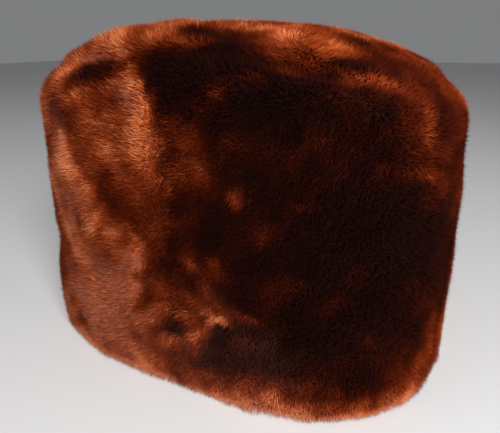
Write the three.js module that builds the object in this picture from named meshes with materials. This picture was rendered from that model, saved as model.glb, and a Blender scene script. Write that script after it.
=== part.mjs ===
// A tall busby hat of sheared fur, standing on its rim with the opening down. Sizes are in
// millimetres, +Z is up and +X is the wearer's front. It is sewn from three pieces of pelt: a front
// and a back panel, joined down the two sides, and an arched crown let in along the shoulder.
// Each piece is one wall of hide and upright pile, and its outer face has the pile's tufts, dents
// and partings.
import * as THREE from "three";

// The hat over its fur, at the rim unless a comment says otherwise
const hatLength = 220; // front to back
const hatWidth = 194; // side to side
const hatHeight = 155.5; // from the rim to the top of the crown
const planSquareness = 2.99; // exponent of the rim's superellipse: 2 would be an ellipse
const wallTaper = 0.069; // share by which the plan narrows from the rim to the shoulder
const shoulderRadius = 25; // rounding from the wall into the crown
const crownRise = 2.6; // how far the crown domes above the shoulder
const endDroop = 32; // how far the crown sags at the front and the back

// The pelt
const hideThickness = 1.5;
const pileDepth = 12.5;
const hemRadius = 4; // the pile rounds under at the rim

// The seams: the crown's runs round the shoulder, and the panels meet down the two sides
const seamGap = 0.5; // between two pieces of pelt
const crownSeamAngle = 50; // degrees up the shoulder's rounding
const crownPartingDepth = 1.6; // how far the pile parts along the seam
const crownPartingWidth = 10;
const sidePartingDepth = 1.2;
const sidePartingWidth = 10;

// The pile stands in shallow tufts all over, whose tops reach the hat's plain form
const tuftSize = 18;
const tuftRelief = 0.45;

// Dents and swells in the pile. around: degrees round the plan from the front. up: share of the way
// up the wall, and above 1 the share of the shoulder's rounding that is passed. wide and tall are
// shares of hatWidth and hatHeight. depth is a share of pileDepth, below 0 for a swell.
const pileDents = [
  { name: "hollow under the seam", around: 250, up: 1.2, wide: 0.2, tall: 0.16, depth: 0.5 },
  { name: "second hollow", around: 259, up: 1.3, wide: 0.14, tall: 0.12, depth: 0.3 },
  { name: "fold low on the back", around: 237, up: 0.4, wide: 0.6, tall: 0.1, depth: 0.22 },
  { name: "swell below the fold", around: 240, up: 0.24, wide: 0.64, tall: 0.32, depth: -0.14 },
  { name: "pit beside the seam", around: 273, up: 0.29, wide: 0.12, tall: 0.1, depth: 0.3 },
  { name: "pit in the front panel", around: 286, up: 0.27, wide: 0.14, tall: 0.08, depth: 0.34 },
  { name: "tuft above the pit", around: 285, up: 0.35, wide: 0.14, tall: 0.1, depth: -0.2 },
  { name: "whorl at the seam", around: 304, up: 1.62, wide: 0.14, tall: 0.1, depth: 0.28 },
  { name: "ridge under the seam", around: 318, up: 1.33, wide: 0.44, tall: 0.1, depth: -0.16 },
  { name: "flat of the broad side", around: 290, up: 0.6, wide: 1.1, tall: 0.8, depth: 0.06 },
  { name: "flat of the crown's edge", around: 286, up: 1.95, wide: 0.7, tall: 0.2, depth: 0.3 },
  { name: "dent in the left side", around: 75, up: 0.62, wide: 0.6, tall: 0.4, depth: 0.2 },
  { name: "crease in the left side", around: 112, up: 0.35, wide: 0.48, tall: 0.1, depth: 0.26 },
  { name: "swell at the front", around: 8, up: 0.5, wide: 0.8, tall: 0.6, depth: -0.1 },
];

// How finely the walls are cut into sections
const sectionsPerPanel = 54;
const hemSteps = 3;
const wallSteps = 15;
const panelShoulderSteps = 4; // up the shoulder from the wall to the crown's seam
const crownShoulderSteps = 4; // from the seam to the flat of the crown
const crownRings = 8;
const innerWallSteps = 4;
const innerShoulderSteps = 2;
const innerCrownRings = 3;

const wall = hideThickness + pileDepth;
const quarterTurn = Math.PI / 2;
const seamStation = 1 + crownSeamAngle / 90;
const least = 1e-3; // a small step of turn or station

// The outer face of the pile and the inner face of the hide are two skins of the same form.
const furSkin = {
  halfLength: hatLength / 2,
  halfWidth: hatWidth / 2,
  rounding: shoulderRadius,
  top: hatHeight,
};
const hideSkin = {
  halfLength: hatLength / 2 - wall,
  halfWidth: hatWidth / 2 - wall,
  rounding: Math.max(shoulderRadius - wall, 1),
  top: hatHeight - wall,
};

// Height at which a skin's wall starts to round into the crown.
const wallHeight = (skin) => skin.top - crownRise - skin.rounding;

// Distance from the hat's axis to a skin's rim, in the direction turn.
function planRadius(skin, turn) {
  const alongLength = Math.abs(Math.cos(turn) / skin.halfLength) ** planSquareness;
  const alongWidth = Math.abs(Math.sin(turn) / skin.halfWidth) ** planSquareness;
  return (alongLength + alongWidth) ** (-1 / planSquareness);
}

// A point of a skin, sunk by the crown's sag towards the front and the back.
function sagged(skin, turn, radius, height) {
  const x = radius * Math.cos(turn);
  const y = radius * Math.sin(turn);
  const sag = endDroop * (height / skin.top) ** 3 * (x / furSkin.halfLength) ** 2;
  return new THREE.Vector3(x, y, height - sag);
}

// A point on a skin. station runs from 0 at the rim to 1 at the shoulder, on to 2 where the rounding
// ends, and to 3 at the middle of the crown.
function skinPoint(skin, turn, station) {
  const plan = planRadius(skin, turn);
  const base = wallHeight(skin);
  if (station <= 1) return sagged(skin, turn, plan * (1 - wallTaper * station), base * station);
  const crownPlan = plan * (1 - wallTaper) - skin.rounding;
  if (station <= 2) {
    const angle = (station - 1) * quarterTurn;
    const radius = crownPlan + skin.rounding * Math.cos(angle);
    return sagged(skin, turn, radius, base + skin.rounding * Math.sin(angle));
  }
  const reach = 3 - station;
  return sagged(skin, turn, crownPlan * reach, skin.top - crownRise * reach ** 2);
}

// The outward direction of the fur, from its slopes round the plan and up the profile.
function outward(turn, station) {
  const low = Math.max(station - least, 0);
  const high = Math.min(station + least, 3);
  const ahead = skinPoint(furSkin, turn + least, station);
  const round = ahead.sub(skinPoint(furSkin, turn - least, station));
  const up = skinPoint(furSkin, turn, high).sub(skinPoint(furSkin, turn, low));
  return round.cross(up).normalize();
}

// Length up the fur's profile from the rim to a station, in the middle of a broad side.
function climb(station) {
  const onWall = wallHeight(furSkin) * Math.min(station, 1);
  const onShoulder = shoulderRadius * quarterTurn * Math.min(Math.max(station - 1, 0), 1);
  const crownPlan = furSkin.halfWidth * (1 - wallTaper) - shoulderRadius;
  return onWall + onShoulder + crownPlan * Math.max(station - 2, 0);
}

// 1 in the middle of a dent, dying away past its width.
const bell = (distance, width) => Math.exp(-(((2 * distance) / width) ** 2));

function angleBetween(turn, other) {
  const difference = turn - other;
  return Math.atan2(Math.sin(difference), Math.cos(difference));
}

// How far the pile's tufts stand at a point: they are rounded and about tuftSize apart, from waves
// along the three axes, and sink inwards from their tops.
function tufts(point) {
  const { x, y, z } = point.clone().multiplyScalar(Math.PI / tuftSize);
  const waves = Math.sin(x) * Math.cos(y) + Math.sin(y) * Math.cos(z) + Math.sin(z) * Math.cos(x);
  return tuftRelief * (waves - 1);
}

// How far the pile stands out of its plain form: its tufts, less the partings and the dents.
function relief(turn, station, point) {
  const height = climb(station);
  const radius = planRadius(furSkin, turn);
  const onPanel = bell(Math.max(0, height - climb(seamStation)), crownPartingWidth);
  let stand = tufts(point);
  stand -= crownPartingDepth * bell(height - climb(seamStation), crownPartingWidth);
  for (const seam of [quarterTurn, -quarterTurn]) {
    const across = radius * angleBetween(turn, seam);
    stand -= sidePartingDepth * bell(across, sidePartingWidth) * onPanel;
  }
  for (const dent of pileDents) {
    const across = radius * angleBetween(turn, THREE.MathUtils.degToRad(dent.around));
    const spread = bell(across, dent.wide * hatWidth);
    const rise = bell(height - climb(dent.up), dent.tall * hatHeight);
    stand -= dent.depth * pileDepth * spread * rise;
  }
  return stand;
}

// A point of the fur. Every turn meets in one point at the middle of the crown, which stands
// straight up.
function furPoint(turn, station) {
  const point = skinPoint(furSkin, turn, station);
  if (station === 3) return point.setZ(point.z + tufts(point));
  return point.addScaledVector(outward(turn, station), relief(turn, station, point));
}

// The rim, where the pile rounds under to a flat foot. share runs from 0 on the foot to 1 on the
// wall, and the relief fades out on the way down.
function hemPoint(turn, share) {
  const angle = share * quarterTurn;
  const height = hemRadius * (1 - Math.cos(angle));
  const station = height / wallHeight(furSkin);
  const swell = relief(turn, station, skinPoint(furSkin, turn, station)) * Math.sin(angle);
  const radius = planRadius(furSkin, turn) * (1 - wallTaper * station);
  return sagged(furSkin, turn, radius - hemRadius * (1 - Math.sin(angle)) + swell, height);
}

const steps = (count, from, to) =>
  Array.from({ length: count + 1 }, (_, i) => from + ((to - from) * i) / count);

// Where a piece ends at the crown's seam, half of seamGap below it (side -1) or above it (side 1).
const seamEdge = (skin, side) => seamStation + (side * seamGap) / 2 / skin.rounding / quarterTurn;

// The section of a side panel at one turn, as a closed loop: out of the foot and up the fur, in
// along the crown's seam, down the hide.
function panelSection(turn) {
  const hemTop = hemRadius / wallHeight(furSkin);
  const hem = steps(hemSteps, 0, 1).map((share) => hemPoint(turn, share));
  const furStations = [
    ...steps(wallSteps, hemTop, 1).slice(1),
    ...steps(panelShoulderSteps, 1, seamEdge(furSkin, -1)).slice(1),
  ];
  const hideStations = [
    ...steps(innerShoulderSteps, seamEdge(hideSkin, -1), 1).slice(0, -1),
    ...steps(innerWallSteps, 1, 0),
  ];
  const fur = furStations.map((station) => furPoint(turn, station));
  const hide = hideStations.map((station) => skinPoint(hideSkin, turn, station));
  return [...hem, ...fur, ...hide];
}

function geometryOf(points, faces) {
  const positions = points.flatMap((point) => point.toArray());
  const geometry = new THREE.BufferGeometry();
  geometry.setAttribute("position", new THREE.Float32BufferAttribute(positions, 3));
  geometry.setIndex(faces);
  return geometry;
}

// The two triangles of a four-sided patch.
const patch = (a, b, c, d) => [a, b, c, a, c, d];

// A wall lofted through the sections between two turns and closed at both ends. It stands half of
// seamGap away from the plane of the side seams.
function panelGeometry(from, to) {
  const sections = steps(sectionsPerPanel, from, to).map(panelSection);
  const shift = (Math.sign(Math.cos((from + to) / 2)) * seamGap) / 2;
  const points = sections.flat().map((point) => point.setX(point.x + shift));
  const count = sections[0].length;
  const faces = [];
  for (let i = 0; i < sectionsPerPanel; i++)
    for (let j = 0; j < count; j++) {
      const next = (j + 1) % count;
      const here = i * count;
      const there = here + count;
      faces.push(...patch(here + j, there + j, there + next, here + next));
    }
  const outline = sections[0].map((point) => new THREE.Vector2(Math.abs(point.y), point.z));
  const last = sectionsPerPanel * count;
  for (const [a, b, c] of THREE.ShapeUtils.triangulateShape(outline, [])) {
    faces.push(a, b, c);
    faces.push(last + c, last + b, last + a);
  }
  return geometryOf(points, faces);
}

// The crown: rings of points from its middle out over the fur to the seam, and back under the hide.
function crownGeometry() {
  const furStations = [
    ...steps(crownRings, 3, 2).slice(1),
    ...steps(crownShoulderSteps, 2, seamEdge(furSkin, 1)).slice(1),
  ];
  const hideStations = [
    ...steps(innerShoulderSteps, seamEdge(hideSkin, 1), 2),
    ...steps(innerCrownRings, 2, 3).slice(1, -1),
  ];
  const around = 2 * sectionsPerPanel;
  const turns = steps(around, -quarterTurn, 3 * quarterTurn).slice(0, -1);
  const rings = [
    ...furStations.map((station) => turns.map((turn) => furPoint(turn, station))),
    ...hideStations.map((station) => turns.map((turn) => skinPoint(hideSkin, turn, station))),
  ];
  const points = [furPoint(0, 3), ...rings.flat(), skinPoint(hideSkin, 0, 3)];
  const innermost = 1 + (rings.length - 1) * around;
  const faces = [];
  for (let i = 0; i < around; i++) {
    const next = (i + 1) % around;
    faces.push(0, 1 + i, 1 + next);
    for (let ring = 0; ring < rings.length - 1; ring++) {
      const here = 1 + ring * around;
      const there = here + around;
      faces.push(...patch(here + i, there + i, there + next, here + next));
    }
    faces.push(innermost + next, innermost + i, points.length - 1);
  }
  return geometryOf(points, faces);
}

function piece(name, geometry, color) {
  const material = new THREE.MeshStandardMaterial({ color, roughness: 0.95, metalness: 0 });
  const mesh = new THREE.Mesh(geometry, material);
  mesh.name = name;
  return mesh;
}

const busbyHat = new THREE.Group();
busbyHat.add(piece("front_panel", panelGeometry(-quarterTurn, quarterTurn), 0x4f1f12));
busbyHat.add(piece("back_panel", panelGeometry(quarterTurn, 3 * quarterTurn), 0x6e3420));
busbyHat.add(piece("crown", crownGeometry(), 0x5c2816));

export default busbyHat;
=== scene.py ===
"""A tall busby hat of sheared fur, standing on its rim on a pale floor. Lengths are in metres."""

import math
from typing import NamedTuple

import bpy
import numpy as np
from mathutils import Matrix, Vector, kdtree


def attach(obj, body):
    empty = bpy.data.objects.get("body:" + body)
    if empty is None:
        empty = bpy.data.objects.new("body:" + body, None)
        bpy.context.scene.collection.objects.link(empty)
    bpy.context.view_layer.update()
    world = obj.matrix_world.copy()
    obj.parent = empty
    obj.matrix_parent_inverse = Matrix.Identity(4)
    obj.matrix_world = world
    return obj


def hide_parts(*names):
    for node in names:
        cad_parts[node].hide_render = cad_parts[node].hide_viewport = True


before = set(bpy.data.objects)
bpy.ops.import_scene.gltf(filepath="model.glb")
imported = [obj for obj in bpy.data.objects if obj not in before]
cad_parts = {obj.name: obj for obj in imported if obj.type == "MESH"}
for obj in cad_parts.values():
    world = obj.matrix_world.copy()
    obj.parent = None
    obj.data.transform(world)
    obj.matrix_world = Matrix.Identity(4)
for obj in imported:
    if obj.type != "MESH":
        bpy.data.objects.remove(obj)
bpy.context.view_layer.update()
bpy.ops.object.select_all(action="DESELECT")


# Pelts of the front panel, the back panel and the crown. Each is one cut of tanned sheepskin, bare
# hide inside and matted under-fur outside. The panels are sewn together down the two sides and the
# crown is let in along the shoulder, and the thread draws the cut edges close.
PILE_DEPTH = 0.0032  # from the tips of the fur down to the dense felt
HAT_MIDDLE = Vector((0, 0, 0.05))  # a point inside the hollow, which the fur faces away from
FACING_OUT = 0.25  # least cosine between a fur face and the way out from HAT_MIDDLE
RIM_HEIGHT = 0.001  # below this is the foot of the rim
SEAM_PULL = 0.000246  # how far the thread draws each edge of a seam to the other
SEAM_TONE = 0.4  # share of the wool's tone that is left at the bottom of a seam
MERGE_DISTANCE = 1e-5
NO_LENGTH = 1e-12  # takes the place of a zero that would be divided by
SMOOTH_BELOW = math.radians(50)

# The hide's flesh side, brushed to a short suede nap
HIDE_COLOURS = [(0.3, (0.23, 0.13, 0.075, 1)), (0.7, (0.42, 0.27, 0.17, 1))]
HIDE_BLOTCHES = {"Scale": 45, "Detail": 6}
HIDE_NAP = {"Scale": 1400, "Detail": 3}
HIDE_NAP_DEPTH = {"Strength": 0.5, "Distance": 0.0004}
HIDE_ROUGHNESS = 0.9
HIDE_SHEEN = 0.3


def new_material(name):
    """A material, its shader, and the function that links its nodes."""
    material = bpy.data.materials.new(name)
    material.use_nodes = True
    return material, material.node_tree.nodes["Principled BSDF"], material.node_tree.links.new


def new_node(material, kind, sockets=None, **settings):
    """A shader node with its settings, and the values of its sockets."""
    node = material.node_tree.nodes.new(kind)
    for name, value in settings.items():
        setattr(node, name, value)
    for name, value in (sockets or {}).items():
        node.inputs[name].default_value = value
    return node


def colour_ramp(material, stops):
    ramp = new_node(material, "ShaderNodeValToRGB")
    bands = ramp.color_ramp.elements
    while len(bands) < len(stops):
        bands.new(0.5)  # its own place follows
    for band, (place, colour) in zip(bands, stops):
        band.position = place
        band.color = colour
    return ramp


def brushed_hide():
    material, shader, link = new_material("brushed_hide")
    place = new_node(material, "ShaderNodeTexCoord")
    blotches = new_node(material, "ShaderNodeTexNoise", HIDE_BLOTCHES)
    nap = new_node(material, "ShaderNodeTexNoise", HIDE_NAP)
    colours = colour_ramp(material, HIDE_COLOURS)
    bump = new_node(material, "ShaderNodeBump", HIDE_NAP_DEPTH)
    link(place.outputs["Object"], blotches.inputs["Vector"])
    link(place.outputs["Object"], nap.inputs["Vector"])
    link(blotches.outputs["Fac"], colours.inputs["Fac"])
    link(colours.outputs["Color"], shader.inputs["Base Color"])
    link(nap.outputs["Fac"], bump.inputs["Height"])
    link(bump.outputs["Normal"], shader.inputs["Normal"])
    shader.inputs["Roughness"].default_value = HIDE_ROUGHNESS
    shader.inputs["Sheen Weight"].default_value = HIDE_SHEEN
    return material


hide = brushed_hide()


# The wool, which matts into a dense felt close to the hide. Its tone holds painted light and shade: almost
# black on the broad side, where the pile is seen end-on, and rust brown at the back, round the crown's
# edge and along the rim, with painted shade in small pits and creases and painted highlights on tufts.
WOOL_COLOURS = [  # by the wool's tone, from dark, 0, to light, 1
    (0.0, (0.0095, 0.0032, 0.0028, 1)),
    (0.2, (0.03, 0.0045, 0.002, 1)),
    (0.4, (0.10, 0.012, 0.003, 1)),
    (0.6, (0.22, 0.034, 0.008, 1)),
    (0.7, (0.33, 0.058, 0.014, 1)),
    (0.8, (0.47, 0.105, 0.034, 1)),
    (1.0, (0.78, 0.26, 0.11, 1)),
]
PLAIN_TONE = 0.56
MOTTLES = [(0.03, 0.05, 21), (0.013, 0.09, 22), (0.006, 0.08, 23)]  # size, depth in tone and seed
IN_DARK = 0.3  # how far the mottles show where the tone is 0
STRAYS = [(0.016, 1, 31), (0.007, 0.7, 32), (0.0035, 0.4, 33)]  # size, share and seed, for ragged edges
MOST_RAGGED = 0.02
NOISE_WAVES = 20
NOISE_SPREAD = (0.6, 1.3)  # how closely one wave follows another, as shares
FELT_GRAIN = {"Scale": 1500, "Detail": 3}
FELT_GRAIN_DEPTH = {"Strength": 0.8, "Distance": 0.0006}
FELT_SHADING = [(0.3, (0.75, 0.75, 0.75, 1)), (0.7, (1, 1, 1, 1))]
FELT_ROUGHNESS = 0.95


class Patch(NamedTuple):
    """A patch of fur that differs from the rest. Each is laid over the ones before it."""

    what: str
    around: float  # degrees round the plan from the front
    height: float  # above the rim
    wide: float  # from the patch's middle to its edge, round the hat
    tall: float  # the same upwards
    slope: float = 0  # how far it climbs for each metre round
    tone: float | None = None
    mottled: float | None = None  # how strongly it is mottled
    painted_sheen: float | None = None  # how much of the painted sheen colour its tips have
    longer: float | None = None  # how much longer its pile is
    turn: float | None = None  # which way it lies: 0 is round the hat, 90 up, none out from its middle
    lean: float | None = None  # tangent of the fur's tilt that way
    ragged: float = 0.3  # how far its edge strays, as a share of its narrower reach
    edge: float = 1.5  # how sharp its edge is


TONES_AND_PAINTED_LIGHT = [
    # Painted light and shade: the broad light and dark areas are where the pile looks light seen from the
    # side and dark seen end-on.
    Patch("front", 0, 0.09, 0.06, 0.09, tone=0.42),
    Patch("crown's near edge", 300, 0.151, 0.12, 0.009, tone=0.68, mottled=1.5),
    Patch("top of the crown", 272, 0.1545, 0.06, 0.0046, tone=0.86, mottled=0.8),
    Patch("broad side", 298, 0.075, 0.072, 0.08, tone=0.21, mottled=2),
    Patch("front corner", 338, 0.1, 0.024, 0.05, tone=0.3),
    Patch("dark low at the front corner", 342, 0.052, 0.013, 0.028, tone=0.16),
    Patch("dark of the broad side", 314, 0.07, 0.056, 0.07, tone=0, mottled=0.8),
    # Painted shade in the creases along the crown's seam and on either side of the whorl.
    Patch("dark below the seam", 292, 0.128, 0.034, 0.012, tone=0.02, ragged=0.15, edge=3),
    Patch("dark by the tuft ridge", 279, 0.1355, 0.03, 0.0125, tone=0, ragged=0.12, edge=4),
    Patch("dark before the whorl", 288, 0.1405, 0.011, 0.0085, tone=0.02, ragged=0.12, edge=4),
    Patch("dark above the seam", 272, 0.1492, 0.014, 0.0014, slope=-0.09, tone=0.15, ragged=0.05),
    Patch("dark at the whorl's edge", 293, 0.1475, 0.0045, 0.003, tone=0.08, ragged=0.05, edge=3),
    # Painted light at the back of the near side, where the pile is seen from the side; the red-brown
    # patches and blotches after it are the wool's own tone.
    Patch("back of the near side", 247, 0.075, 0.036, 0.085, tone=0.69, mottled=1.1, ragged=0.35, edge=4),
    Patch("high at the back", 242, 0.12, 0.018, 0.012, tone=0.44),
    Patch("red-brown at the back", 254, 0.089, 0.012, 0.012, slope=-0.3, tone=0.55),
    Patch("dark red at the back", 246, 0.104, 0.01, 0.004, slope=0.3, tone=0.5, ragged=0.7),
    Patch("red-brown across the seam", 261, 0.081, 0.018, 0.011, slope=-0.1, tone=0.4, ragged=0.5, edge=2),
    Patch("brown by the seam", 265, 0.056, 0.011, 0.014, tone=0.24, ragged=0.4, edge=2),
    Patch("light by the seam", 262, 0.109, 0.009, 0.011, tone=0.69),
    Patch("light below the red-brown", 258, 0.068, 0.012, 0.006, slope=-0.2, tone=0.7),
    Patch("red blotch high by the seam", 276, 0.117, 0.01, 0.005, slope=0.2, tone=0.36, ragged=0.7),
    Patch("dull red below the dark", 281, 0.1265, 0.006, 0.0045, tone=0.26, ragged=0.7),
    Patch("red blotch by the seam", 273, 0.101, 0.01, 0.008, tone=0.42, ragged=0.7),
    Patch("red blotch below the dark", 289, 0.1325, 0.01, 0.0034, slope=0.1, tone=0.32, ragged=0.7),
    Patch("red-brown low by the seam", 273, 0.048, 0.014, 0.006, tone=0.36, ragged=0.5),
    Patch("red blotch low by the seam", 279, 0.063, 0.01, 0.006, slope=-0.1, tone=0.44, ragged=0.7),
    Patch("streak above the pit", 290, 0.0475, 0.013, 0.0028, slope=0.05, tone=0.38, ragged=0.7),
    Patch("red blotch below the pit", 276, 0.019, 0.018, 0.008, tone=0.46, ragged=0.7),
    Patch("red-brown under the pit", 283.5, 0.0265, 0.009, 0.0045, tone=0.3, ragged=0.7),
    Patch("dark before the rim", 291, 0.026, 0.014, 0.007, tone=0.08),
    Patch("red blotch low on the front", 306, 0.0205, 0.012, 0.005, tone=0.36, ragged=0.7),
    Patch("red fleck high", 304, 0.117, 0.008, 0.003, slope=0.3, tone=0.2, ragged=0.7),
    Patch("second red fleck high", 307, 0.105, 0.006, 0.0028, slope=0.4, tone=0.17, ragged=0.7),
    Patch("red fleck on the front", 317, 0.108, 0.0035, 0.0025, tone=0.3, ragged=0.7),
    Patch("red patch on the corner", 326, 0.102, 0.012, 0.006, tone=0.4, ragged=0.7),
    Patch("dull red down the corner", 329.5, 0.092, 0.01, 0.009, tone=0.25, ragged=0.7),
    Patch("red fleck in the middle", 302, 0.095, 0.008, 0.003, tone=0.22, ragged=0.7),
    Patch("red fleck low in the middle", 299, 0.0625, 0.007, 0.0045, tone=0.24, ragged=0.7),
    Patch("red streak low on the front", 309, 0.057, 0.006, 0.0033, slope=0.6, tone=0.17, ragged=0.7),
    Patch("red fleck by the front corner", 316, 0.071, 0.005, 0.004, tone=0.16, ragged=0.7),
    Patch("dull red above the rim", 312, 0.031, 0.012, 0.006, tone=0.16, ragged=0.7),
    # Painted shade in the hollow under the seam and the crease to the crown, and painted highlights above
    # the hollow and on the tuft ridge.
    Patch("hollow under the seam", 248.5, 0.1355, 0.011, 0.0042, slope=0.3, tone=0.2, ragged=0.2),
    Patch("crease to the crown", 256.5, 0.1395, 0.007, 0.0018, slope=0.57, tone=0.25, ragged=0.1),
    Patch("brown strip above the seam", 276, 0.147, 0.012, 0.0012, slope=-0.05, tone=0.45, ragged=0.05),
    Patch("light above the hollow", 244, 0.1407, 0.009, 0.003, tone=0.72, ragged=0.2),
    Patch("deep of the hollow", 242.8, 0.1335, 0.0065, 0.0045, slope=0.3, tone=0.02, ragged=0.2),
    Patch("tuft ridge", 262, 0.127, 0.009, 0.014, tone=0.69, ragged=0.15, edge=3),
    # Painted light low at the back.
    Patch("low at the back", 248, 0.027, 0.028, 0.026, tone=0.655, mottled=0.35, edge=3),
    # Round the pit: painted shade in the pit and the spot by the seam, and painted highlights on the
    # crescent of wool that curls round the pit.
    Patch("streak beside the pit", 272, 0.0275, 0.015, 0.0035, slope=0.33, tone=0.54),
    Patch("light above the spot", 270, 0.0388, 0.006, 0.0028, slope=-0.1, tone=0.55),
    Patch("brown beside the spot", 277, 0.0395, 0.006, 0.005, tone=0.5),
    Patch("spot by the seam", 270.8, 0.03, 0.0045, 0.0036, tone=0.08),
    Patch("crescent's upper arm", 280.4, 0.045, 0.01, 0.003, slope=-0.35, tone=0.7),
    Patch("crescent's lower arm", 280.6, 0.0352, 0.0086, 0.0042, slope=0.8, tone=0.84),
    Patch("crescent's tip", 283.3, 0.0415, 0.0045, 0.0036, tone=0.7),
    Patch("pit", 285.2, 0.0346, 0.0044, 0.0037, tone=0, edge=3),
    Patch("dark beside the pit", 291, 0.0382, 0.0105, 0.003, slope=0.1, tone=0.04),
    # Painted light on the whorl and the ridges where the pile turns, and painted shade in the grooves at
    # the seam.
    Patch("whorl", 306.5, 0.147, 0.019, 0.0068, tone=0.57, ragged=0.2),
    Patch("petals of the whorl", 310, 0.1448, 0.008, 0.0022, slope=-0.2, tone=0.64, ragged=0.2),
    Patch("red-brown beside the whorl", 317, 0.1475, 0.006, 0.0028, slope=-0.2, tone=0.42),
    Patch("ridge under the seam", 317, 0.1345, 0.012, 0.003, slope=-0.2, tone=0.53, ragged=0.2),
    Patch("ridge turning down", 327, 0.12, 0.005, 0.01, slope=-1, tone=0.38),
    Patch("groove at the seam", 314, 0.1395, 0.011, 0.0022, slope=-0.1, tone=0.1),
    Patch("groove round the corner", 328, 0.13, 0.008, 0.003, slope=-0.5, tone=0.25),
    # Painted light along the rim, brightest at its foot, where light bounces up from the floor.
    Patch("rim", 300, 0, 0.25, 0.013, tone=0.72, ragged=0.12, edge=2),
    Patch("darker stretch of the rim", 297, 0.014, 0.01, 0.006, tone=0.34, ragged=0.5),
    Patch("foot of the rim", 300, 0, 0.25, 0.0055, tone=0.79, mottled=0.3, ragged=0.12, edge=3),
    Patch("corner of the rim", 334, 0.006, 0.018, 0.022, tone=0.46),
    # A painted highlight on the tuft.
    Patch("tuft", 289.3, 0.0948, 0.0032, 0.0045, tone=0.66),
    Patch("second tuft", 295, 0.082, 0.0045, 0.004, tone=0.26, ragged=0.7),
]


def soft_noise(points, size, seed):
    """Smooth noise of about -1 to 1, in patches of that size."""
    draw = np.random.default_rng(seed)
    waves = draw.normal(size=(NOISE_WAVES, 3))
    spread = draw.uniform(*NOISE_SPREAD, (NOISE_WAVES, 1))
    waves *= (math.pi / size) * spread / np.linalg.norm(waves, axis=1, keepdims=True)
    phases = draw.uniform(0, 2 * math.pi, NOISE_WAVES)
    return np.sin(points @ waves.T + phases).sum(1) / math.sqrt(NOISE_WAVES)


def off_patch(points, patch):
    """How far each point is from a patch's middle, round the hat and up."""
    around = np.arctan2(points[:, 1], points[:, 0])
    radius = np.hypot(points[:, 0], points[:, 1])
    turn = (around - math.radians(patch.around) + math.pi) % (2 * math.pi) - math.pi
    across = turn * radius
    return across, points[:, 2] - patch.height - across * patch.slope


def in_patch(points, patch, stray=0):
    """1 in the middle of a patch, falling softly to 0 past its edge."""
    across, above = off_patch(points, patch)
    stray = stray * patch.ragged * min(patch.wide, patch.tall, MOST_RAGGED)
    off = ((across + stray) / patch.wide) ** 2 + ((above + stray) / patch.tall) ** 2
    return np.exp(-(off**patch.edge))


def laid(points, patches, column, plain):
    """A value over the fur: plain, with each patch's value laid over it in turn."""
    value = np.full(len(points), float(plain))
    stray = sum(share * soft_noise(points, size, seed) for size, share, seed in STRAYS)
    for patch in patches:
        own = getattr(patch, column)
        if own is not None:
            value += in_patch(points, patch, stray) * (own - value)
    return value


def tone_and_painted_light_of(points):
    """How light the wool is at each point, from 0 to 1, with painted light and shade laid over its own
    tone.
    """
    tone = laid(points, TONES_AND_PAINTED_LIGHT, "tone", PLAIN_TONE)
    mottle = sum(depth * soft_noise(points, size, seed) for size, depth, seed in MOTTLES)
    return np.clip(tone + mottle * laid(points, TONES_AND_PAINTED_LIGHT, "mottled", 1) * (IN_DARK + tone), 0, 1)


def underfur_felt():
    material, shader, link = new_material("underfur_felt")
    place = new_node(material, "ShaderNodeTexCoord")
    tone = new_node(material, "ShaderNodeAttribute", attribute_name="wool_tone_and_painted_light")
    grain = new_node(material, "ShaderNodeTexNoise", FELT_GRAIN)
    shading = colour_ramp(material, FELT_SHADING)
    colours = colour_ramp(material, WOOL_COLOURS)
    shaded = new_node(material, "ShaderNodeMix", data_type="RGBA", blend_type="MULTIPLY")
    shaded.inputs["Factor"].default_value = 1
    bump = new_node(material, "ShaderNodeBump", FELT_GRAIN_DEPTH)
    link(place.outputs["Object"], grain.inputs["Vector"])
    link(grain.outputs["Fac"], shading.inputs["Fac"])
    link(tone.outputs["Fac"], colours.inputs["Fac"])
    link(colours.outputs["Color"], shaded.inputs["A"])
    link(shading.outputs["Color"], shaded.inputs["B"])
    link(shaded.outputs["Result"], shader.inputs["Base Color"])
    link(grain.outputs["Fac"], bump.inputs["Height"])
    link(bump.outputs["Normal"], shader.inputs["Normal"])
    shader.inputs["Roughness"].default_value = FELT_ROUGHNESS
    shader.inputs["Specular IOR Level"].default_value = 0
    return material


felt = underfur_felt()


def skin_of(node):
    """A merged copy of a solid, which its pelt and its fur are made from."""
    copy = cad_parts[node].copy()
    copy.data = copy.data.copy()
    copy.hide_viewport = copy.hide_render = False
    bpy.context.collection.objects.link(copy)
    bpy.context.view_layer.objects.active = copy
    copy.select_set(True)
    bpy.ops.object.mode_set(mode="EDIT")
    bpy.ops.mesh.select_all(action="SELECT")
    bpy.ops.mesh.remove_doubles(threshold=MERGE_DISTANCE)
    bpy.ops.object.mode_set(mode="OBJECT")
    copy.select_set(False)
    return copy


def facing_out(face):
    return face.normal.dot((face.center - HAT_MIDDLE).normalized())


def is_fur(face):
    return facing_out(face) > FACING_OUT


def is_hide(face):
    return facing_out(face) < -FACING_OUT


def is_cut(face):
    """Whether a face is the cut edge of a pelt along a seam."""
    return abs(facing_out(face)) <= FACING_OUT and face.center.z > RIM_HEIGHT


def normals_of(mesh, is_wanted):
    """At each point, the average normal of the wanted faces that meet there, or zero without any."""
    normals = np.zeros((len(mesh.vertices), 3))
    for face in mesh.polygons:
        if is_wanted(face):
            for corner in face.vertices:
                normals[corner] += np.array(face.normal) * face.area
    lengths = np.linalg.norm(normals, axis=1, keepdims=True)
    return normals / np.maximum(lengths, NO_LENGTH)


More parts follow.
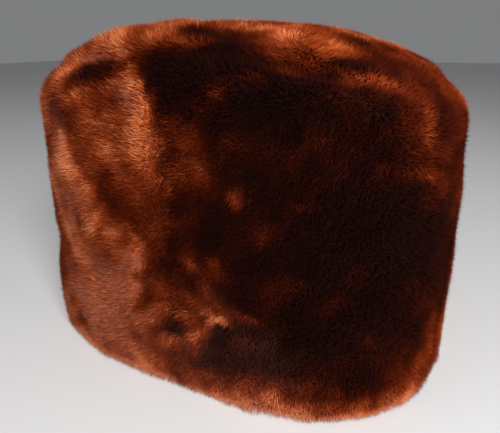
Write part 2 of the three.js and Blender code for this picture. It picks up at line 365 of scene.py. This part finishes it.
def make_pelt(node, name):
    """One wall of hide and felt: the solid, with its fur face drawn in by the depth of the pile."""
    pelt = skin_of(node)
    pelt.name = name
    mesh = pelt.data
    points = np.array([vertex.co for vertex in mesh.vertices])
    sides = [int(is_hide(face)) for face in mesh.polygons]
    cuts = normals_of(mesh, is_cut)
    # The felt takes the wool's tone, painted light and shade included, darker at the bottom of a seam.
    tone = mesh.attributes.new("wool_tone_and_painted_light", "FLOAT", "POINT")
    tone.data.foreach_set("value", tone_and_painted_light_of(points) * np.where(cuts.any(axis=1), SEAM_TONE, 1))
    points += cuts * SEAM_PULL - normals_of(mesh, is_fur) * PILE_DEPTH
    mesh.vertices.foreach_set("co", points.ravel())
    mesh.materials.clear()
    mesh.materials.append(felt)
    mesh.materials.append(hide)
    mesh.polygons.foreach_set("material_index", sides)
    mesh.update()
    pelt.select_set(True)
    bpy.context.view_layer.objects.active = pelt
    bpy.ops.object.shade_smooth_by_angle(angle=SMOOTH_BELOW)
    pelt.select_set(False)
    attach(pelt, "root")
    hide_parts(node)


make_pelt("front_panel", "front_pelt")
make_pelt("back_panel", "back_pelt")
make_pelt("crown", "crown_pelt")


# Fur of the panels and the crown: upright sheared wool, darker at the roots than at the tips, partly its
# own colour and partly painted shade deep in the pile. Each strand is a closed spike rooted in the felt.
# Brushing has left the wool lying one way or another in patches, it parts round a whorl and a pit, and it
# leans over the seams.
FINE_STRANDS = 2.85e6  # in a square metre, on the side that is seen from close by
COARSE_STRANDS = 1.0e6  # the same all round
CLOSE_BY = Vector((0.0925, -0.2067, 0.1455))  # the point that it is seen from
TURNING_AWAY = (-0.25, 0.05)  # cosines between which the fine strands give way to the coarse
STRAND_WIDTH = 0.00033
WIDTH_SPREAD = (0.75, 1.25)
ROOT_SINK = 0.0004  # how far a strand's root goes into the felt
LENGTH_SPREAD = 0.06
STRAY_SHARE = 0.08
STRAY_EXTRA = 0.0016
STRAY_SPREAD = (0.2, 1)
# Painted light: the stray hairs are lighter, as the fringe at the outline looks with light coming through
# it.
STRAY_PAINTED_LIGHT = 0.15
TONE_SPREAD = 0.09
FLOOR_CLEARANCE = 0.0003
CLUMPS = [(0.0035, 0.18, 7), (0.009, 0.15, 17), (0.022, 0.14, 27)]  # size, lean and seed
STRAND_JITTER = 0.22
MOST_STRANDS = 49000  # in one piece of fur
RIM_BAND = 0.009  # below this the fur is denser
RIM_EXTRA = 0.8
RIM_CALM = 0.5  # how much less the strands stray from the lay there
SEAM_REACH = 0.003  # how near a seam the fur leans over it
SEAM_LEAN = 0.7
SEAM_STEPS = 8  # points along each edge of the skin there
AT_SEAM = 1e-6  # nearer than this a strand stands straight
WHORL_EYE = 0.002  # about the middle of a whorl the fur stands up again
TONE_ENDS = (0.02, 0.98)
MAP_WIDTH = 0.01  # half a strand's width on its map
# Painted shade: each strand darkens towards its root, as the pile does deep down where little light
# reaches.
FUR_SHADING = [(0, (0.75, 0.75, 0.75, 1)), (0.5, (0.92, 0.92, 0.92, 1)), (1, (1, 1, 1, 1))]
FUR_ROUGHNESS = 0.6
PAINTED_SHEEN_COLOUR = (0.6, 0.35, 0.28, 1)  # painted sheen: pale pink where light glances off the tips
PAINTED_SHEEN = [  # where painted sheen makes the tips paler and duller
    Patch("low at the back", 248, 0.027, 0.028, 0.026, painted_sheen=0.11, edge=3),
    Patch("light above the hollow", 244, 0.1407, 0.009, 0.003, painted_sheen=0.07),
    Patch("tuft ridge", 259, 0.126, 0.007, 0.006, painted_sheen=0.1),
    Patch("back edge", 234, 0.085, 0.014, 0.045, painted_sheen=0.07),
    Patch("low on the broad side", 283, 0.014, 0.045, 0.03, painted_sheen=0.028),
    Patch("foot of the rim", 300, 0, 0.25, 0.006, painted_sheen=0.09, edge=3),
]
LAY = [  # where the fur lies one way
    Patch("low at the back", 240, 0.03, 0.07, 0.03, turn=170, lean=0.3),
    Patch("high at the back", 240, 0.09, 0.05, 0.06, turn=150, lean=0.3),
    Patch("fall of the whorl", 306.9, 0.1467, 0.014, 0.0055, turn=-110, lean=1.6),
    Patch("whorl", 306.9, 0.1467, 0.016, 0.006, lean=1.1),
    Patch("hollow", 243, 0.135, 0.014, 0.01, lean=-0.5),
    Patch("pit", 285, 0.0345, 0.008, 0.008, lean=0.8),
    Patch("tuft", 289.3, 0.0953, 0.005, 0.006, turn=-80, lean=0.6),
    Patch("rim", 300, 0, 0.25, 0.006, turn=90, lean=0.35),
]
LONGER = [
    Patch("back of the crown", 252, 0.15, 0.032, 0.0055, longer=0.0024),
    Patch("middle of the crown", 293, 0.154, 0.03, 0.003, longer=-0.001),
]


def sheared_wool():
    """The wool's tone, painted light and shade included, runs along U of a strand's map, and it lightens
    from root to tip along V, partly as painted shade.
    """
    material, shader, link = new_material("panel_fur")
    strand = new_node(material, "ShaderNodeUVMap", uv_map="OFBake")
    axes = new_node(material, "ShaderNodeSeparateXYZ")
    colours = colour_ramp(material, WOOL_COLOURS)
    shading = colour_ramp(material, FUR_SHADING)
    # Painted sheen: a pale pink mixed into the wool, where light glances off the tips.
    painted_sheen = new_node(material, "ShaderNodeAttribute", attribute_name="wool_painted_sheen")
    with_painted_sheen = new_node(material, "ShaderNodeMix", data_type="RGBA")
    with_painted_sheen.inputs["B"].default_value = PAINTED_SHEEN_COLOUR
    shaded = new_node(material, "ShaderNodeMix", data_type="RGBA", blend_type="MULTIPLY")
    shaded.inputs["Factor"].default_value = 1
    link(strand.outputs["UV"], axes.inputs["Vector"])
    link(axes.outputs["Y"], shading.inputs["Fac"])
    link(axes.outputs["X"], colours.inputs["Fac"])
    link(colours.outputs["Color"], with_painted_sheen.inputs["A"])
    link(painted_sheen.outputs["Fac"], with_painted_sheen.inputs["Factor"])
    link(with_painted_sheen.outputs["Result"], shaded.inputs["A"])
    link(shading.outputs["Color"], shaded.inputs["B"])
    link(shaded.outputs["Result"], shader.inputs["Base Color"])
    shader.inputs["Roughness"].default_value = FUR_ROUGHNESS
    shader.inputs["Specular IOR Level"].default_value = 0
    return material


wool = sheared_wool()


def lay_of(points):
    """How the fur lies at each point, as tilts round the hat and up."""
    tilt = np.zeros((len(points), 2))
    for patch in LAY:
        if patch.turn is None:
            way = np.stack(off_patch(points, patch), axis=1)
            way /= np.linalg.norm(way, axis=1, keepdims=True) + WHORL_EYE
        else:
            way = np.array([math.cos(math.radians(patch.turn)), math.sin(math.radians(patch.turn))])
        tilt += in_patch(points, patch)[:, None] * patch.lean * way
    for size, lean, seed in CLUMPS:
        tilt[:, 0] += lean * soft_noise(points, size, seed)
        tilt[:, 1] += lean * soft_noise(points, size, seed + 1)
    return tilt


def smoothstep(low, high, value):
    share = np.clip((value - low) / (high - low), 0, 1)
    return share * share * (3 - 2 * share)


def spread_over(mesh, draw):
    """Places for the strands, spread evenly: each one's tip, the way out there, and the density."""
    normals = normals_of(mesh, is_fur)
    points = np.array([vertex.co for vertex in mesh.vertices])
    faces = np.array([face.vertices for face in mesh.polygons if is_fur(face)])
    a, b, c = (points[faces[:, k]] for k in range(3))
    cross = np.cross(b - a, c - a)
    area = np.linalg.norm(cross, axis=1) / 2
    sight = np.array(CLOSE_BY) - (a + b + c) / 3
    facing = (cross * sight).sum(1) / np.linalg.norm(cross, axis=1) / np.linalg.norm(sight, axis=1)
    density = COARSE_STRANDS + (FINE_STRANDS - COARSE_STRANDS) * smoothstep(*TURNING_AWAY, facing)
    height = (a + b + c)[:, 2] / 3
    density *= 1 + RIM_EXTRA * (height < RIM_BAND)
    wanted = int((area * density).sum())
    slices = (np.arange(wanted) + draw.uniform(0, 1, wanted)) / wanted * (area * density).sum()
    on = np.searchsorted(np.cumsum(area * density), slices).clip(max=len(area) - 1)
    u, v = draw.uniform(0, 1, (2, wanted))
    over = u + v > 1
    u[over], v[over] = 1 - u[over], 1 - v[over]
    share = np.stack([1 - u - v, u, v], axis=1)[:, :, None]
    tips = (points[faces[on]] * share).sum(1)
    out = (normals[faces[on]] * share).sum(1)
    out /= np.linalg.norm(out, axis=1, keepdims=True)
    return tips, out, density[on]


def to_seams(mesh, tips):
    """From each strand's tip to the nearest point of the fur's edge along the seams."""
    furred = {}
    for face in mesh.polygons:
        for edge in face.edge_keys:
            furred.setdefault(edge, []).append(is_fur(face))
    ends = [edge for edge, sides in furred.items() if sorted(sides) == [False, True]]
    seam = kdtree.KDTree(len(ends) * SEAM_STEPS)
    for k, (first, last) in enumerate(ends):
        for step in range(SEAM_STEPS):
            place = mesh.vertices[first].co.lerp(mesh.vertices[last].co, step / SEAM_STEPS)
            seam.insert(place, k * SEAM_STEPS + step)
    seam.balance()
    return np.array([seam.find(tip)[0] for tip in tips]) - tips


def lean_over(mesh, tips, out, draw):
    """Which way each strand grows: outwards, tilted with the lay and over a seam that is near."""
    in_rim = tips[:, 2:] < RIM_BAND
    around = np.arctan2(tips[:, 1], tips[:, 0])
    level = np.stack([-np.sin(around), np.cos(around), np.zeros(len(tips))], axis=1)
    level -= out * (level * out).sum(1, keepdims=True)
    level /= np.linalg.norm(level, axis=1, keepdims=True)
    rise = np.cross(out, level)
    tilt = lay_of(tips) + draw.normal(0, STRAND_JITTER, (len(tips), 2)) * (1 - RIM_CALM * in_rim)
    way = out + tilt[:, :1] * level + tilt[:, 1:] * rise
    seam = to_seams(mesh, tips)
    away = np.linalg.norm(seam, axis=1, keepdims=True)
    over = SEAM_LEAN * draw.uniform(0, 1, (len(tips), 1)) * np.exp(-((away / SEAM_REACH) ** 2))
    way += over * seam / np.maximum(away, AT_SEAM)
    return way / np.linalg.norm(way, axis=1, keepdims=True)


def strand_mesh(name, roots, ends, widths, tones, painted_sheens, draw):
    """Each strand is a closed spike: three corners round its root and one at its tip."""
    count = len(roots)
    way = ends - roots
    way /= np.linalg.norm(way, axis=1, keepdims=True)
    side = np.cross(way, draw.normal(size=(count, 3)))
    side /= np.linalg.norm(side, axis=1, keepdims=True)
    other = np.cross(way, side)
    corners = [
        roots + widths[:, None] / 2 * (math.cos(turn) * side + math.sin(turn) * other)
        for turn in (0, 2 * math.pi / 3, 4 * math.pi / 3)
    ]
    places = np.stack([*corners, ends], axis=1).reshape(-1, 3)
    spike = np.array([[0, 1, 3], [1, 2, 3], [2, 0, 3], [0, 2, 1]])
    loops = (np.arange(count)[:, None, None] * len(spike) + spike).reshape(-1)
    # The map of each spike, by its faces and their corners: the three sides first, the root last
    uv = np.zeros((count, *spike.shape, 2))
    uv[..., 0] = np.clip(tones, *TONE_ENDS)[:, None, None]
    uv[:, :3, 0, 0] -= MAP_WIDTH
    uv[:, :3, 1, 0] += MAP_WIDTH
    uv[:, :3, 2, 1] = 1
    uv[:, 3, 1, 0] += MAP_WIDTH
    uv[:, 3, 2, 1] = MAP_WIDTH
    made = bpy.data.meshes.new(name)
    made.vertices.add(len(places))
    made.vertices.foreach_set("co", places.ravel())
    made.loops.add(len(loops))
    made.loops.foreach_set("vertex_index", loops)
    made.polygons.add(len(loops) // 3)
    made.polygons.foreach_set("loop_start", np.arange(0, len(loops), 3))
    made.uv_layers.new(name="OFBake")
    made.uv_layers["OFBake"].data.foreach_set("uv", uv.ravel())
    # The painted sheen on each strand's tips
    painted_sheen = made.attributes.new("wool_painted_sheen", "FLOAT", "POINT")
    painted_sheen.data.foreach_set("value", np.repeat(painted_sheens, len(places) // count))
    made.update()
    return made


def grow_fur(node, name, seed):
    """Plants strands over a solid's fur face, and parts them round the hat into pieces."""
    draw = np.random.default_rng(seed)
    skin = skin_of(node)
    tips, out, density = spread_over(skin.data, draw)
    way = lean_over(skin.data, tips, out, draw)
    bpy.data.objects.remove(skin)

    count = len(tips)
    depth = PILE_DEPTH + ROOT_SINK
    roots = tips - out * depth
    length = depth / (way * out).sum(1) * (1 + draw.normal(0, LENGTH_SPREAD, count))
    length += laid(tips, LONGER, "longer", 0)
    stray = (draw.uniform(0, 1, count) < STRAY_SHARE) & (tips[:, 2] >= RIM_BAND)
    length[stray] += STRAY_EXTRA * draw.uniform(*STRAY_SPREAD, stray.sum())
    ends = roots + way * length[:, None]
    ends[:, 2] = np.maximum(ends[:, 2], FLOOR_CLEARANCE)
    roots[:, 2] = np.maximum(roots[:, 2], 2 * FLOOR_CLEARANCE)
    widths = STRAND_WIDTH * np.sqrt(FINE_STRANDS / density) * draw.uniform(*WIDTH_SPREAD, count)
    # Each strand takes the wool's tone, painted light and shade included.
    tones = tone_and_painted_light_of(tips)
    # The strands' tones vary at random, and the strays are painted lighter, as a lit fringe.
    tones += (draw.normal(0, TONE_SPREAD, count) + STRAY_PAINTED_LIGHT * stray) * (IN_DARK + tones)
    # Painted sheen on the tips, in patches
    painted_sheens = laid(tips, PAINTED_SHEEN, "painted_sheen", 0)

    order = np.argsort(np.arctan2(tips[:, 1], tips[:, 0]))
    pieces = np.array_split(order, math.ceil(count / MOST_STRANDS))
    for number, some in enumerate(pieces, start=1):
        piece = f"{name}_{number}"
        made = strand_mesh(piece, roots[some], ends[some], widths[some], tones[some], painted_sheens[some], draw)
        made.materials.append(wool)
        fur = bpy.data.objects.new(piece, made)
        bpy.context.collection.objects.link(fur)
        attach(fur, "root")
        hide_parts(node)


grow_fur("front_panel", "front_fur", 11)
grow_fur("back_panel", "back_fur", 12)
grow_fur("crown", "crown_fur", 13)


# Floor: a plain pale sheet that the hat stands on. It is a stage for the picture and no part of the
# hat, and it lies just below the rim, so that the two don't touch.
FLOOR_SIZE = 6
FLOOR_DROP = 0.0002  # below the rim
FLOOR_COLOUR = (0.62, 0.62, 0.63, 1)
FLOOR_ROUGHNESS = 0.6

bpy.ops.mesh.primitive_plane_add(size=FLOOR_SIZE, location=(0, 0, -FLOOR_DROP))
floor = bpy.context.active_object
floor.name = "floor"
floor_material, floor_shader, _ = new_material("pale_floor")
floor_shader.inputs["Base Color"].default_value = FLOOR_COLOUR
floor_shader.inputs["Roughness"].default_value = FLOOR_ROUGHNESS
floor.data.materials.append(floor_material)
floor.select_set(False)


# Camera: close to the hat's broad side, a little below the top of the crown, and looking down at the
# hat. From so near, the broad side looks wide and the far side falls away.
AZIMUTH = math.radians(25.36)
PITCH = math.radians(23.44)
ROLL = math.radians(-0.46)
LENS = 29.2  # for a sensor of SENSOR_WIDTH, both in millimetres
SENSOR_WIDTH = 36
NEAREST = 0.01

right = Vector((math.cos(AZIMUTH), math.sin(AZIMUTH), 0))
ahead = Vector((-math.sin(AZIMUTH), math.cos(AZIMUTH), 0))
looking = ahead * math.cos(PITCH) - Vector((0, 0, 1)) * math.sin(PITCH)
up = right.cross(looking)
rolled_right = right * math.cos(ROLL) + up * math.sin(ROLL)
rolled_up = up * math.cos(ROLL) - right * math.sin(ROLL)
camera_data = bpy.data.cameras.new("camera")
camera_data.lens = LENS
camera_data.sensor_width = SENSOR_WIDTH
camera_data.clip_start = NEAREST
camera = bpy.data.objects.new("camera", camera_data)
camera_turn = Matrix((rolled_right, rolled_up, -looking)).transposed().to_4x4()
camera.matrix_world = Matrix.Translation(CLOSE_BY) @ camera_turn
bpy.context.collection.objects.link(camera)
bpy.context.scene.camera = camera


# Light: a soft lamp behind the camera, to its right and above it, a wide dim one from the left, and a
# dim pale room all round.
LAMPS = [  # back towards the camera, to the right and up from the point that they aim at
    dict(name="key", back=0.68, right=0.22, up=0.42, size=0.4, power=11.5),
    dict(name="fill", back=0.35, right=-1.1, up=0.35, size=0.8, power=3.5),
]
LAMP_COLOUR = (1, 0.99, 0.97)
LAMPS_AIM_AT = Vector((0, 0, 0.07))
ROOM_COLOUR = (0.62, 0.63, 0.64, 1)
ROOM_STRENGTH = 0.33

for row in LAMPS:
    lamp_data = bpy.data.lights.new(row["name"], "AREA")
    lamp_data.size = row["size"]
    lamp_data.energy = row["power"]
    lamp_data.color = LAMP_COLOUR
    lamp = bpy.data.objects.new(row["name"], lamp_data)
    place = LAMPS_AIM_AT - ahead * row["back"] + right * row["right"] + Vector((0, 0, row["up"]))
    lamp.location = place
    lamp.rotation_euler = (LAMPS_AIM_AT - place).to_track_quat("-Z", "Y").to_euler()
    bpy.context.collection.objects.link(lamp)

world = bpy.data.worlds.new("room")
bpy.context.scene.world = world
world.use_nodes = True
world.node_tree.nodes["Background"].inputs["Color"].default_value = ROOM_COLOUR
world.node_tree.nodes["Background"].inputs["Strength"].default_value = ROOM_STRENGTH
bpy.context.scene.view_settings.view_transform = "Standard"
